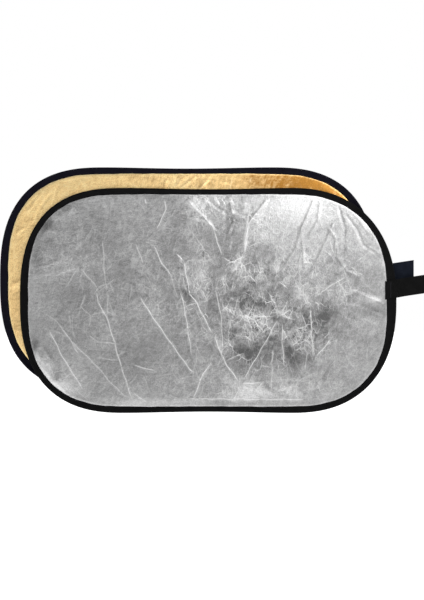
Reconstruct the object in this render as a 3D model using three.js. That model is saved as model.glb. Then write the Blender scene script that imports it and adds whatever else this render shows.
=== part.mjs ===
// A pair of collapsible photographic reflectors, one held behind the other.
// Each is a spring-steel hoop in a folded edge binding, with silver cloth on one face and gold on
// the other, and a webbing carry loop sewn to its right end. The front one shows its silver face
// and the rear one its gold face, a little higher and further left.
//
// Millimetres. +X is to the right across the panels, +Y runs from the front face to the back and
// +Z is up. The origin is the middle of the front panel's lower edge, where a holder grips it.
import * as THREE from 'three';

// Panel outline
const PANEL_WIDTH = 900;
const PANEL_HEIGHT = 538;
const END_DEPTH = 250; // how far each rounded end reaches past the straight rails
const RAIL_PULL_IN = 3; // cloth tension draws the middle of each rail inwards
const SECTION_GAP = 0.8; // between the middle of a panel and its two wings, where it bends

// Binding: one folded tape, whose section is U-shaped and opens towards the cloth
const TAPE = 0.8;
const RIM_HALF_THICKNESS = 4.2;
const LEG_HALF_THICKNESS = 2.1;
const LEG_STARTS = 7; // depth from the rim's edge at which the two legs become flat and parallel

// Hoop: flat spring steel, wide across the panel's thickness, closed by a crimped sleeve
const HOOP_THICKNESS = 1.2;
const HOOP_WIDTH = 5;
const HOOP_DEPTH = 2.3; // from the rim's edge to the strip's outer face
const SLEEVE_WALL = 0.3;
const SLEEVE_CLEARANCE = 0.3;
const SLEEVE_LENGTH = 36;
const STRIP_END_GAP = 1;

// Cloths
const CLOTH_THICKNESS = 0.85;
const CLOTH_GAP = 0.3; // between the silver and the gold cloth
const CLOTH_INSET = 6.2; // from the rim's edge to the cloth's edge, inside the binding

// Carry loop: webbing folded double, its two ends sewn round the rim as an anchor
const WEBBING_WIDTH = 44;
const WEBBING_THICKNESS = 1.3;
const LOOP_REACH = 91; // from the rim's edge to the far end of the loop
const LOOP_HALF_GAP = 3;
const LOOP_ROOT_LENGTH = 8; // where the two layers still lie together
const LOOP_TAPER_END = 26; // from the root to where the layers run parallel
const LOOP_SLOPE = Math.tan(THREE.MathUtils.degToRad(9.3)); // the loop rises to the right
const ANCHOR_LENGTH = 46;
const ANCHOR_THICKNESS = 1.2;
const ANCHOR_DEPTH = 27; // how far the anchor's leaves reach in from the rim's edge
const FREE_PLAY = 0.3; // gap kept between pieces that touch
const LOOP_PLAY = 0.8; // between the anchor and the loop's root, so that the loop can swing
const TACK = { width: 1.5, thickness: 0.5, length: 38, depth: 14 };

// The two panels differ a little. The upper and the lower half of each end are superellipses:
// exponent 2 is an ellipse, and more is squarer. The width is how much of the binding shows on a
// face: at the middle of a rail, where the rail meets the end, round the corner, and at the middle
// of each end.
const SHAPES = {
  front: {
    exponent: { left: { upper: 2.62, lower: 2.5 }, right: { upper: 2.28, lower: 2.37 } },
    width: { rail: 13, shoulder: 16, corner: 14, left: 19.6, right: 23.2 },
  },
  rear: {
    exponent: { left: { upper: 2.6, lower: 2.6 }, right: { upper: 2.6, lower: 2.6 } },
    width: { rail: 12.5, shoulder: 16.5, corner: 17, left: 19.5, right: 19.5 },
  },
};

// Where the two panels stand
const REAR_OFFSET = new THREE.Vector3(-48.7, 11, 50);
const FRONT_STRAP_HEIGHT = 29; // of the anchor's middle above the panel's centre
const REAR_STRAP_HEIGHT = 10.8;

// Facets
const END_STEPS = 26;
const RAIL_STEPS = 4;
const ANCHOR_STEPS = 4;

const HALF_WIDTH = PANEL_WIDTH / 2;
const HALF_HEIGHT = PANEL_HEIGHT / 2;
const RAIL_HALF = HALF_WIDTH - END_DEPTH;
const CENTRE_HEIGHT = HALF_HEIGHT - RAIL_PULL_IN;
const SIDES = { left: -1, right: 1 };

const finishes = {
  silver: new THREE.MeshStandardMaterial({ color: 0xb9babc, roughness: 0.38, metalness: 1 }),
  gold: new THREE.MeshStandardMaterial({ color: 0xdba957, roughness: 0.4, metalness: 1 }),
  blackTape: new THREE.MeshStandardMaterial({ color: 0x121313, roughness: 0.85, metalness: 0 }),
  navyTape: new THREE.MeshStandardMaterial({ color: 0x171a29, roughness: 0.85, metalness: 0 }),
  steel: new THREE.MeshStandardMaterial({ color: 0x7d8188, roughness: 0.3, metalness: 1 }),
  brass: new THREE.MeshStandardMaterial({ color: 0xb08d4a, roughness: 0.35, metalness: 1 }),
  thread: new THREE.MeshStandardMaterial({ color: 0x1c1d20, roughness: 0.7, metalness: 0 }),
};

// The rim's outer edge in the panel's own plane, in four stretches that run clockwise seen from
// the front. Each stretch is a curve in X and Z about the panel's centre.

class RailCurve extends THREE.Curve {
  // up is 1 for the top rail, which runs to the right, and -1 for the bottom one, to the left.
  constructor(up) {
    super();
    this.up = up;
  }

  getPoint(t, target = new THREE.Vector3()) {
    const across = 2 * t - 1;
    const height = HALF_HEIGHT - RAIL_PULL_IN * (1 - across ** 2) ** 2;
    return target.set(this.up * across * (RAIL_HALF - SECTION_GAP / 2), 0, this.up * height);
  }
}

class EndCurve extends THREE.Curve {
  // side is 1 for the right end, which runs downwards, and -1 for the left one, upwards.
  constructor(side, exponent) {
    super();
    this.side = side;
    this.exponent = exponent;
    this.arcLengthDivisions = 600;
  }

  getPoint(t, target = new THREE.Vector3()) {
    const angle = Math.PI * (0.5 - t);
    const height = this.side * Math.sin(angle);
    const power = 2 / (height > 0 ? this.exponent.upper : this.exponent.lower);
    const out = Math.abs(Math.cos(angle)) ** power;
    const up = Math.sign(height) * Math.abs(height) ** power;
    const start = RAIL_HALF + SECTION_GAP / 2;
    const reach = HALF_WIDTH - start;
    return target.set(this.side * (start + reach * out), 0, HALF_HEIGHT * up);
  }

  // The share of the curve's length before the panel's mid-height.
  getMiddle() {
    const lengths = this.getLengths();
    return lengths[this.arcLengthDivisions / 2] / lengths[this.arcLengthDivisions];
  }
}

// Part of another curve, between two shares of its length.
class Stretch extends THREE.Curve {
  constructor(curve, from, to) {
    super();
    Object.assign(this, { curve, from, to });
  }

  getPoint(t, target = new THREE.Vector3()) {
    return this.curve.getPointAt(this.from + (this.to - this.from) * t, target);
  }
}

function rimCurves(exponent) {
  return {
    top: new RailCurve(1),
    bottom: new RailCurve(-1),
    left: new EndCurve(SIDES.left, exponent.left),
    right: new EndCurve(SIDES.right, exponent.right),
  };
}

// The point at a share t of a curve's length, moved inwards by depth in the panel's plane.
function inset(curve, t, depth) {
  const tangent = curve.getTangentAt(t);
  return curve.getPointAt(t).add(new THREE.Vector3(tangent.z, 0, -tangent.x).multiplyScalar(depth));
}

// Sweeps a section along a rim curve. The section's x is the depth from the rim's edge, and its y
// is across the panel's thickness. depthAt, where given, changes a depth along the way.
function sweep(section, curve, steps, depthAt = (depth) => depth) {
  const geometry = new THREE.ExtrudeGeometry(section, { depth: 1, steps, bevelEnabled: false });
  const position = geometry.getAttribute('position');
  for (let i = 0; i < position.count; i += 1) {
    const t = THREE.MathUtils.clamp(position.getZ(i), 0, 1);
    const point = inset(curve, t, depthAt(position.getX(i), t));
    position.setXYZ(i, point.x, position.getY(i), point.z);
  }
  return geometry;
}

function shapeOf(points) {
  return new THREE.Shape(points.map(([x, y]) => new THREE.Vector2(x, y)));
}

// A flat plate from an outline in X and Z, filling y from near to near + thickness.
function plate(points, near, thickness) {
  const outline = new THREE.Shape(points.map((p) => new THREE.Vector2(p.x, p.z)));
  const geometry = new THREE.ExtrudeGeometry(outline, { depth: thickness, bevelEnabled: false });
  return geometry.rotateX(Math.PI / 2).translate(0, near + thickness, 0);
}

// A U-shaped section round the rim from one leg's end to the other: the half profile, given from
// the leg's end outwards, and the same half profile moved by wall towards the inside.
function channelSection(outer, inner) {
  const flipped = (points) => points.map(([x, y]) => [x, -y]).reverse();
  return shapeOf([...flipped(outer).reverse(), ...outer.slice().reverse(), ...inner, ...flipped(inner)]);
}

function bindingSection(legDepth) {
  const outer = [
    [legDepth, LEG_HALF_THICKNESS],
    [LEG_STARTS, LEG_HALF_THICKNESS],
    [4.6, RIM_HALF_THICKNESS],
    [1.2, RIM_HALF_THICKNESS],
    [0, 2.6],
  ];
  const inner = [
    [legDepth, LEG_HALF_THICKNESS - TAPE],
    [LEG_STARTS - TAPE / 2, LEG_HALF_THICKNESS - TAPE],
    [4.2, RIM_HALF_THICKNESS - TAPE],
    [1.6, RIM_HALF_THICKNESS - TAPE],
    [TAPE, 2.6],
  ];
  return channelSection(outer, inner);
}

function anchorSection() {
  const outer = [
    [ANCHOR_DEPTH, 3.6],
    [7.6, 3.6],
    [5.3, 5.7],
    [0.6, 5.7],
    [-FREE_PLAY - ANCHOR_THICKNESS, 3.2],
  ];
  const inner = [
    [ANCHOR_DEPTH, 2.4],
    [7.2, 2.4],
    [4.8, 4.5],
    [1.1, 4.5],
    [-FREE_PLAY, 2.8],
  ];
  return channelSection(outer, inner);
}

function rectangle(left, right, halfHeight) {
  return [[left, -halfHeight], [right, -halfHeight], [right, halfHeight], [left, halfHeight]];
}

// The binding's width at a share t of a rail or an end.
function bindingWidth(width, where, t) {
  const { rail, shoulder, corner } = width;
  if (!(where in SIDES)) return rail + (shoulder - rail) * (2 * t - 1) ** 2;
  const atShoulder = (shoulder - corner) * Math.cos(Math.PI * t) ** 4;
  const atMiddle = (width[where] - corner) * Math.sin(Math.PI * t) ** 10;
  return corner + atShoulder + atMiddle;
}

function binding(rim, where, width) {
  const steps = where in SIDES ? END_STEPS : RAIL_STEPS;
  const depthAt = (depth, t) => (depth > LEG_STARTS ? bindingWidth(width, where, t) : depth);
  return sweep(bindingSection(width.rail), rim[where], steps, depthAt);
}

function hoopStrip(curve, steps) {
  const section = rectangle(HOOP_DEPTH, HOOP_DEPTH + HOOP_THICKNESS, HOOP_WIDTH / 2);
  return sweep(shapeOf(section), curve, steps);
}

// The crimped tube over the two ends of the strip, in the middle of the lower rail.
function hoopSleeve(rim) {
  const inside = SLEEVE_CLEARANCE;
  const outside = SLEEVE_CLEARANCE + SLEEVE_WALL;
  const box = (grow) =>
    rectangle(HOOP_DEPTH - grow, HOOP_DEPTH + HOOP_THICKNESS + grow, HOOP_WIDTH / 2 + grow);
  const section = shapeOf(box(outside));
  section.holes.push(new THREE.Path(box(inside).map(([x, y]) => new THREE.Vector2(x, y))));
  const share = SLEEVE_LENGTH / rim.bottom.getLength() / 2;
  return sweep(section, new Stretch(rim.bottom, 0.5 - share, 0.5 + share), 1);
}

function insetPoints(curve, steps) {
  return Array.from({ length: steps + 1 }, (_, i) => inset(curve, i / steps, CLOTH_INSET));
}

// face is -1 for the cloth at the front of the panel and 1 for the one at its back.
function cloth(rim, where, face) {
  const near = face > 0 ? CLOTH_GAP / 2 : -CLOTH_GAP / 2 - CLOTH_THICKNESS;
  const points = where in SIDES
    ? insetPoints(rim[where], END_STEPS)
    : [...insetPoints(rim.top, RAIL_STEPS), ...insetPoints(rim.bottom, RAIL_STEPS)];
  return plate(points, near, CLOTH_THICKNESS);
}

// The webbing's two sewn ends, folded round the rim and the binding.
function strapAnchor(rim, height) {
  const length = rim.right.getLength();
  const middle = rim.right.getMiddle() - height / length;
  const share = ANCHOR_LENGTH / length / 2;
  return sweep(anchorSection(), new Stretch(rim.right, middle - share, middle + share), ANCHOR_STEPS);
}

const STRAP_PIVOT = HALF_WIDTH + FREE_PLAY + ANCHOR_THICKNESS + LOOP_PLAY + WEBBING_THICKNESS;

// The free loop, with its root at the origin: two layers that part, run parallel and turn round.
function strapLoop() {
  const root = WEBBING_THICKNESS;
  const outside = LOOP_HALF_GAP + WEBBING_THICKNESS;
  const turn = HALF_WIDTH + LOOP_REACH - STRAP_PIVOT - outside; // centre of the far round end
  const outline = new THREE.Shape()
    .absarc(0, 0, root, Math.PI / 2, -Math.PI / 2, false)
    .lineTo(LOOP_ROOT_LENGTH, -root)
    .lineTo(LOOP_TAPER_END, -outside)
    .absarc(turn, 0, outside, -Math.PI / 2, Math.PI / 2, false)
    .lineTo(LOOP_TAPER_END, outside)
    .lineTo(LOOP_ROOT_LENGTH, root);
  outline.holes.push(
    new THREE.Path()
      .moveTo(LOOP_ROOT_LENGTH, 0)
      .lineTo(LOOP_TAPER_END, LOOP_HALF_GAP)
      .absarc(turn, 0, LOOP_HALF_GAP, Math.PI / 2, -Math.PI / 2, true)
      .lineTo(LOOP_TAPER_END, -LOOP_HALF_GAP),
  );
  const geometry = new THREE.ExtrudeGeometry(outline, {
    depth: WEBBING_WIDTH,
    curveSegments: 8,
    bevelEnabled: false,
  });
  const slope = new THREE.Matrix4().set(1, 0, 0, 0, 0, 1, 0, 0, LOOP_SLOPE, 0, 1, 0, 0, 0, 0, 1);
  return geometry.translate(0, 0, -WEBBING_WIDTH / 2).applyMatrix4(slope);
}

// The bar of dense stitches that holds a leaf of the anchor down; face as for a cloth.
function barTack(face, height) {
  const reach = 3.6 + FREE_PLAY + TACK.thickness / 2;
  const bar = new THREE.BoxGeometry(TACK.width, TACK.thickness, TACK.length);
  return bar.translate(HALF_WIDTH - TACK.depth, face * reach, height);
}

function panel(name, { frontCloth, backCloth, tape, strapHeight }) {
  const group = new THREE.Group();
  const add = (part, geometry, finish) => {
    const mesh = new THREE.Mesh(geometry, finish);
    mesh.name = `${name}_${part}`;
    group.add(mesh);
    return mesh;
  };

  const { exponent, width } = SHAPES[name];
  const rim = rimCurves(exponent);
  for (const where of Object.keys(rim)) {
    add(`binding_${where}`, binding(rim, where, width), finishes[tape]);
  }

  add('hoop_top', hoopStrip(rim.top, RAIL_STEPS), finishes.steel);
  for (const side of Object.keys(SIDES)) {
    add(`hoop_${side}`, hoopStrip(rim[side], END_STEPS), finishes.steel);
  }
  const halfGap = STRIP_END_GAP / 2 / rim.bottom.getLength();
  const toRight = new Stretch(rim.bottom, 0, 0.5 - halfGap);
  const toLeft = new Stretch(rim.bottom, 0.5 + halfGap, 1);
  add('hoop_bottom_right', hoopStrip(toRight, RAIL_STEPS / 2), finishes.steel);
  add('hoop_bottom_left', hoopStrip(toLeft, RAIL_STEPS / 2), finishes.steel);
  add('hoop_sleeve', hoopSleeve(rim), finishes.brass);

  for (const where of ['left', 'middle', 'right']) {
    add(`${frontCloth}_cloth_${where}`, cloth(rim, where, -1), finishes[frontCloth]);
    add(`${backCloth}_cloth_${where}`, cloth(rim, where, 1), finishes[backCloth]);
  }

  add('strap_anchor', strapAnchor(rim, strapHeight), finishes[tape]);
  add('strap_tack_front', barTack(-1, strapHeight), finishes.thread);
  add('strap_tack_back', barTack(1, strapHeight), finishes.thread);
  add('strap_loop', strapLoop(), finishes[tape]).position.set(STRAP_PIVOT, 0, strapHeight);
  return group;
}

const reflectors = new THREE.Group();

const front = panel('front', {
  frontCloth: 'silver',
  backCloth: 'gold',
  tape: 'blackTape',
  strapHeight: FRONT_STRAP_HEIGHT,
});
front.position.set(0, 0, CENTRE_HEIGHT);
reflectors.add(front);

const rear = panel('rear', {
  frontCloth: 'gold',
  backCloth: 'silver',
  tape: 'navyTape',
  strapHeight: REAR_STRAP_HEIGHT,
});
rear.position.copy(front.position).add(REAR_OFFSET);
reflectors.add(rear);

export default reflectors;
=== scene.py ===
"""Two collapsible reflectors, one behind the other: crinkled silver and gold cloth in bound edges.

Each cloth, binding and hoop is one continuous piece on the real object, and the frame bends at two
hinges on each panel. So every one of them is made in a left and a right half that meet at the
panel's middle.

Everything is in metres in the frame's axes: +X right, +Y from front to back, +Z up. Flat shapes are
worked out in a panel's own plane, as x and z from its centre, and heights above a face point
outwards from it: face -1 is a panel's front and 1 its back.
"""

import math

import bmesh
import bpy
import numpy as np
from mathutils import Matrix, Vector, kdtree

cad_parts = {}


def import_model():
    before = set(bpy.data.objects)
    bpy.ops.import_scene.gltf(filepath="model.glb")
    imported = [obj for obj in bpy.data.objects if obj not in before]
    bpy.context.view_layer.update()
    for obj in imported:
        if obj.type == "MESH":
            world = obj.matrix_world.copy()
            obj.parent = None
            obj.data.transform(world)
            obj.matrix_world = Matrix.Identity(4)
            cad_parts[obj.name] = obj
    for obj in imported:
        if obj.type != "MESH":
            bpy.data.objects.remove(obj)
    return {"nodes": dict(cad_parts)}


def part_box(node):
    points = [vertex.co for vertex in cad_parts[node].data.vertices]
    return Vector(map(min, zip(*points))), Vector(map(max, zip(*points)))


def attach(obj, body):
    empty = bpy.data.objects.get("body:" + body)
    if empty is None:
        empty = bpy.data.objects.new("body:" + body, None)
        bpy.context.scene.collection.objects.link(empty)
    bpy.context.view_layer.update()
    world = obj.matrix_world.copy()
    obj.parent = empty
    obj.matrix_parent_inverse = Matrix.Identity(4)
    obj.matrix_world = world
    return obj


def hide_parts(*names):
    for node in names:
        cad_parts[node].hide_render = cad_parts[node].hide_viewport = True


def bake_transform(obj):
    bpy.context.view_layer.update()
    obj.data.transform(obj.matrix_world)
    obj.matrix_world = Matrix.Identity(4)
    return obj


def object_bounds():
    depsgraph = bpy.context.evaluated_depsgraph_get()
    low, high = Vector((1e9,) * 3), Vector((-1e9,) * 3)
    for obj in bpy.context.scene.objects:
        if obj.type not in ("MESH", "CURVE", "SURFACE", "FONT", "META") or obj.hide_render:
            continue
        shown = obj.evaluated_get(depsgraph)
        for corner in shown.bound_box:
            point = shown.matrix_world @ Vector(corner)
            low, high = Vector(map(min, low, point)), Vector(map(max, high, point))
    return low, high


MM = 0.001
SIDES = {"left": -1, "right": 1}
FACES = {"front": -1, "back": 1}

# Rim outline, as in the frame
RAIL_PULL_IN = 3 * MM
# Of the upper and the lower half of each end
END_EXPONENTS = {
    "front": {"left": (2.62, 2.5), "right": (2.28, 2.37)},
    "rear": {"left": (2.6, 2.6), "right": (2.6, 2.6)},
}
RIM_STEP = 2.5 * MM

# Binding
LEG_WIDTH = 12.5 * MM
# Width that shows: rail's middle, where rail and end meet, corner
WIDTHS = {"front": (13, 16, 14), "rear": (12.5, 16.5, 17)}
# Width that shows at the middle of each end
END_WIDTHS = {"front": {"left": 19.6, "right": 23.2}, "rear": {"left": 19.5, "right": 19.5}}
LEG_HEIGHT = 2.05 * MM
BEAD_HEIGHT = 4.15 * MM
BEAD_ROUND = 2.6 * MM
BEAD_ENDS, LEG_STARTS = 4.6 * MM, 8 * MM
TAPE = 0.7 * MM
STITCH_INSET = 2.6 * MM
STITCH_PITCH = 3.4 * MM

# Hoop
HOOP_DEPTH, HOOP_THICKNESS, HOOP_HALF_WIDTH = 2.3 * MM, 1.2 * MM, 2.5 * MM
HOOP_END_GAP = 0.5 * MM

# Cloths
CLOTH_EDGE = 6.5 * MM  # from the rim's edge to the cloth's edge, under the binding
CLOTH_TIP = 8 * MM
CLOTH_LEVEL = 0.4 * MM  # of each cloth's face from the panel's mid-plane
CLOTH_STEP = 1.65 * MM
CREASE_REACH = 12 * MM  # how far from a crease the distance to it is kept
CLOTH_FREE_OVER = 20 * MM  # beyond the binding's edge, the width in which the relief grows

# Webbing
WEBBING_WIDTH = 44 * MM
WEBBING_THICKNESS = 1.3 * MM
LOOP_SLOPE = math.tan(math.radians(9.3))
TACK_PITCH = 0.75 * MM

# Creases of the front panel's silver cloth: how strong, then x and z of its corners in millimetres
CREASES = [
    (0.6, (-252, 149), (-247, 52), (-240, 24)),
    (0.5, (-308, 83), (-266, 32), (-263, -5)),
    (0.4, (-308, 83), (-346, 24)),
    (0.6, (-174, 141), (-154, 84)),
    (0.7, (-132, 136), (-112, 91), (-81, 50)),
    (1.0, (-78, 112), (-59, 95)),
    (0.9, (-59, 95), (-44, 16), (-28, -5), (10, -80)),
    (0.5, (-59, 95), (10, 98)),
    (0.9, (-151, 245), (-148, 231)),
    (0.8, (-106, 246), (-101, 217), (-125, 168)),
    (0.5, (-268, 32), (-238, 40), (-219, 58)),
    (0.3, (-208, 235), (-203, 204)),
    (0.4, (-240, 48), (-221, 13)),
    (0.4, (-93, 68), (-70, 0)),
    (0.6, (-50, 240), (10, 178), (33, 104)),
    (0.8, (33, 104), (59, 91), (82, 104), (91, 100)),
    (0.7, (135, 236), (96, 183), (85, 110)),
    (0.5, (87, 120), (62, 71)),
    (0.4, (221, 120), (218, 81), (202, 48)),
    (0.9, (223, 90), (240, 92)),
    (0.6, (192, 217), (205, 216)),
    (0.7, (330, 58), (263, 16)),
    (0.6, (166, 48), (192, 26)),
    (0.4, (304, 142), (304, 100)),
    (0.9, (-381, -67), (-349, -132), (-323, -174), (-298, -213)),
    (0.7, (-359, -52), (-329, -94), (-307, -132)),
    (0.4, (-392, -28), (-359, -52), (-335, -84)),
    (0.3, (-372, 58), (-305, 82)),
    (0.4, (-290, 20), (-305, -14), (-282, -34), (-284, -66)),
    (0.4, (-284, -34), (-240, -26), (-213, -38)),
    (0.5, (-290, -80), (-262, -98), (-206, -104)),
    (0.6, (-329, -94), (-265, -157), (-229, -200), (-193, -232)),
    (0.9, (-266, 24), (-263, -5), (-243, -38), (-226, -93), (-213, -141), (-182, -235)),
    (0.5, (-240, 24), (-240, -38)),
    (0.9, (-164, 11), (-138, -31), (-104, -80), (-70, -128), (-44, -164), (-28, -174)),
    (0.8, (-67, 24), (-57, -18), (-39, -132)),
    (1.0, (-36, -235), (-12, -174), (10, -144)),
    (0.8, (-182, -153), (-123, -169)),
    (0.4, (-271, -135), (-213, -143)),
    (0.6, (-183, -216), (-141, -248)),
    (0.3, (-115, -242), (-73, -200)),
    (0.6, (-54, -15), (-28, -5)),
    (0.4, (-332, -31), (-328, -70)),
    (0.7, (17, 24), (30, -31), (34, -105), (33, -132)),
    (0.9, (14, -83), (33, -132), (46, -157), (75, -196)),
    (0.5, (75, 17), (43, -89)),
    (1.0, (166, -45), (137, -99), (85, -187)),
    (0.8, (177, -50), (177, -105), (182, -157)),
    (0.8, (245, -18), (247, -86), (252, -135)),
    (0.9, (296, -89), (257, -135)),
    (0.6, (40, -144), (91, -123)),
    (0.9, (75, -198), (130, -196)),
    (0.8, (75, -196), (72, -216), (56, -245)),
    (0.7, (-52, -234), (60, -235), (233, -236)),
    (0.6, (108, -222), (134, -190)),
    (0.6, (78, -34), (110, -40), (166, -36)),
    (0.7, (172, -36), (205, -18)),
    (0.6, (172, -36), (192, 5)),
    (0.6, (172, -36), (211, -47)),
    (0.5, (172, -36), (146, 14)),
    (0.8, (88, -83), (104, -96)),
    (0.5, (231, -170), (237, -119)),
    (0.5, (153, -110), (151, -215)),
]

# Its folds: height and half width, then x and z of its corners, all in millimetres
FOLDS = [
    (1.1, 4, (253, 240), (221, 165), (211, 126), (172, 68)),
    (1.0, 4, (300, 183), (279, 133), (250, 78)),
    (-0.8, 4, (330, 204), (354, 172), (370, 133), (402, 113)),
    (0.9, 4, (268, 235), (262, 190), (240, 150)),
    (-0.8, 4, (312, 225), (326, 170), (322, 100)),
    (0.7, 4, (345, 215), (385, 160)),
    (0.8, 4, (222, 175), (228, 90)),
    (0.8, 4, (288, 172), (303, 150), (308, 105), (330, 70), (362, 56)),
    (1.0, 4.5, (140, 240), (96, 183)),
    (0.7, 4, (92, 200), (84, 112)),
    (1.0, 4, (-50, 240), (10, 178)),
    (1.1, 4, (-25, 252), (35, 205)),
    (0.9, 4, (-45, 200), (-8, 192), (25, 158)),
    (1.0, 5, (5, 255), (25, 225), (75, 200)),
    (0.9, 4, (52, 240), (60, 190), (48, 160)),
    (1.3, 7, (345, 22), (385, 4), (426, -14)),
    (-0.8, 6, (340, -2), (380, -16), (422, -34)),
    (0.8, 4, (378, 128), (400, 118), (414, 108)),
    (0.25, 4, (-420, 78), (-385, 84), (-350, 100)),
    (0.2, 4, (-415, 60), (-370, 66), (-330, 80)),
    (0.9, 6, (390, -116), (420, -128)),
    (-0.8, 5, (286, -132), (266, -222)),
    (1.4, 7, (-404, -152), (-377, -187), (-347, -214)),
    (0.8, 5, (-412, -120), (-395, -150)),
    (0.6, 5, (-395, -110), (-372, -145)),
    (0.8, 10, (-398, 150), (-365, 195), (-320, 225)),
]

# Where the foil is duller or brighter than elsewhere: partly its own uneven tone, and partly painted
# highlights and painted shade where the key light's reflection and the lit and unlit sides of folds
# fall. x, z, half width and half height in millimetres, and how much
FRONT_TONES_AND_PAINTED_LIGHT = [
    (215, -70, 70, 45, -0.3),
    (120, -60, 55, 50, -0.2),
    (116, 0, 45, 26, -0.3),
    (174, 20, 26, 26, -0.25),
    (278, -28, 26, 26, -0.3),
    (246, -62, 24, 34, -0.2),
    (200, -146, 26, 40, -0.35),
    (240, -130, 30, 30, -0.2),
    (86, -120, 34, 26, -0.3),
    (56, -76, 20, 30, -0.2),
    (-52, 16, 14, 20, -0.35),
    (80, 5, 60, 35, -0.12),
    (90, -145, 60, 40, -0.12),
    (110, 75, 40, 30, -0.15),
    (330, -25, 50, 70, -0.15),
    (396, -24, 30, 12, -0.3),
    (392, 4, 30, 8, 0.3),
    (-100, -60, 80, 70, -0.12),
    (-200, -130, 60, 50, -0.12),
    (-400, 60, 50, 60, 0.1),
    (-390, 180, 22, 14, -0.45),
    (-372, 200, 14, 9, 0.25),
    (-408, 98, 14, 24, -0.2),
    (-414, -104, 9, 16, -0.4),
    (-388, -170, 12, 26, 0.8),
    (-358, -206, 22, 12, 0.6),
    (-408, -135, 8, 20, 0.4),
    (-340, -215, 45, 20, 0.3),
    (-20, 60, 16, 14, 0.3),
    (10, 240, 60, 20, 0.25),
    (86, 150, 12, 50, 0.25),
    (110, -212, 45, 20, 0.3),
    (170, -190, 70, 25, 0.2),
    (160, -225, 150, 14, 0.3),
    (-150, -242, 170, 10, 0.25),
    (330, -90, 40, 80, 0.08),
    (180, 232, 130, 28, 0.4),
    (220, 205, 60, 40, 0.2),
    (200, 190, 130, 60, 0.1),
    (0, -10, 80, 60, -0.1),
    (76, -40, 40, 35, -0.12),
    (-70, 100, 50, 40, -0.08),
    (-283, -10, 50, 60, -0.1),
    (-210, 240, 120, 40, 0.15),
    (300, -100, 50, 40, -0.08),
]
# The rear gold cloth's painted shade: darker and deeper in colour where it reflects less light, most
# towards the upper right, in the same form
REAR_GOLD_PAINTED_SHADE = [
    (270, 235, 110, 60, -0.42),
    (350, 190, 90, 70, -0.38),
    (150, 240, 70, 40, -0.2),
    (-410, -60, 60, 130, -0.12),
    (-20, 240, 70, 30, -0.13),
]

# Where the foil is most crumpled, in the same form
CRUMPLED = [
    (190, -60, 130, 90, 0.9),
    (60, -60, 90, 110, 0.6),
    (60, 90, 90, 70, 0.55),
    (10, 220, 75, 35, 1.0),
    (110, 190, 70, 45, 0.4),
    (160, -210, 140, 25, 0.7),
    (260, 70, 120, 60, 0.45),
    (-110, 30, 160, 120, 0.25),
    (-330, 130, 90, 90, 0.2),
    (-370, -180, 40, 40, 0.4),
]


def smooth(t):
    """0 to 1 as t goes from 0 to 1, level at both ends."""
    t = np.clip(t, 0, 1)
    return t * t * (3 - 2 * t)


# ---------------------------------------------------------------- meshes


def mesh_object(name, points, faces, uv=None):
    """A smooth mesh. uv is one pair for each vertex."""
    mesh = bpy.data.meshes.new(name)
    mesh.from_pydata(np.asarray(points).tolist(), [], [list(f) for f in faces])
    mesh.polygons.foreach_set("use_smooth", [True] * len(mesh.polygons))
    if uv is not None:
        corner = np.empty(len(mesh.loops), np.int32)
        mesh.loops.foreach_get("vertex_index", corner)
        layer = mesh.uv_layers.new(name="flat")
        layer.data.foreach_set("uv", np.asarray(uv, np.float32)[corner].ravel())
    mesh.update()
    obj = bpy.data.objects.new(name, mesh)
    bpy.context.scene.collection.objects.link(obj)
    return obj


def grid_faces(rows, columns, closed=False, flip=False):
    """Quads over a grid of vertices. A closed grid joins its last column to its first."""
    across = np.arange(columns if closed else columns - 1)
    row, column = np.meshgrid(np.arange(rows - 1), across, indexing="ij")
    beside = (column + 1) % columns
    here, above = row * columns, (row + 1) * columns
    quads = [here + column, here + beside, above + beside, above + column]
    quads = np.stack(quads, axis=-1).reshape(-1, 4)
    return quads[:, ::-1] if flip else quads


def tube(name, rings, uv=None, flip=False):
    """A closed solid through rings, an array of (ring, point, xyz), with a flat cap on each end."""
    count, size = rings.shape[:2]
    obj = mesh_object(name, rings.reshape(-1, 3), grid_faces(count, size, True, flip), uv)
    first = list(range(size))
    last = [(count - 1) * size + i for i in range(size)]
    caps = [first if flip else first[::-1], last[::-1] if flip else last]
    add_caps(obj.data, caps)
    return obj


def add_caps(mesh, caps):
    """Closes the ends of a tube with flat faces and sharp edges round them."""
    work = bmesh.new()
    work.from_mesh(mesh)
    work.verts.ensure_lookup_table()
    for cap in caps:
        face = work.faces.new([work.verts[i] for i in cap])
        face.smooth = False
        for edge in face.edges:
            edge.smooth = False
    work.to_mesh(mesh)
    work.free()


def capsules(name, centres, along, across, up, length, radius):
    """Short round threads: one at each centre, lying along one direction and bowed up slightly."""
    rings, sides = 5, 6
    place = np.linspace(-1, 1, rings)
    girth = np.array([0.35, 0.9, 1.0, 0.9, 0.35])
    turn = np.arange(sides) * 2 * math.pi / sides
    a = np.repeat(place * length / 2, sides)
    b = np.outer(girth, np.cos(turn)).ravel() * radius
    c = np.outer(girth, np.sin(turn)).ravel() * radius + np.repeat(1 - place**2, sides) * radius * 0.6
    shape = np.stack([a, b, c], axis=1)
    frames = np.stack([along, across, up], axis=1)
    points = centres[:, None, :] + np.einsum("pk,nkd->npd", shape, frames)
    size = rings * sides
    first = np.arange(sides)
    ends = [first[::-1], first + (rings - 1) * sides]
    starts = np.arange(len(centres)) * size
    faces = (starts[:, None, None] + grid_faces(rings, sides, closed=True)[None]).reshape(-1, 4).tolist()
    faces += [(start + end).tolist() for start in starts for end in ends]
    return mesh_object(name, points.reshape(-1, 3), faces)


# ---------------------------------------------------------------- a panel's plane


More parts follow.
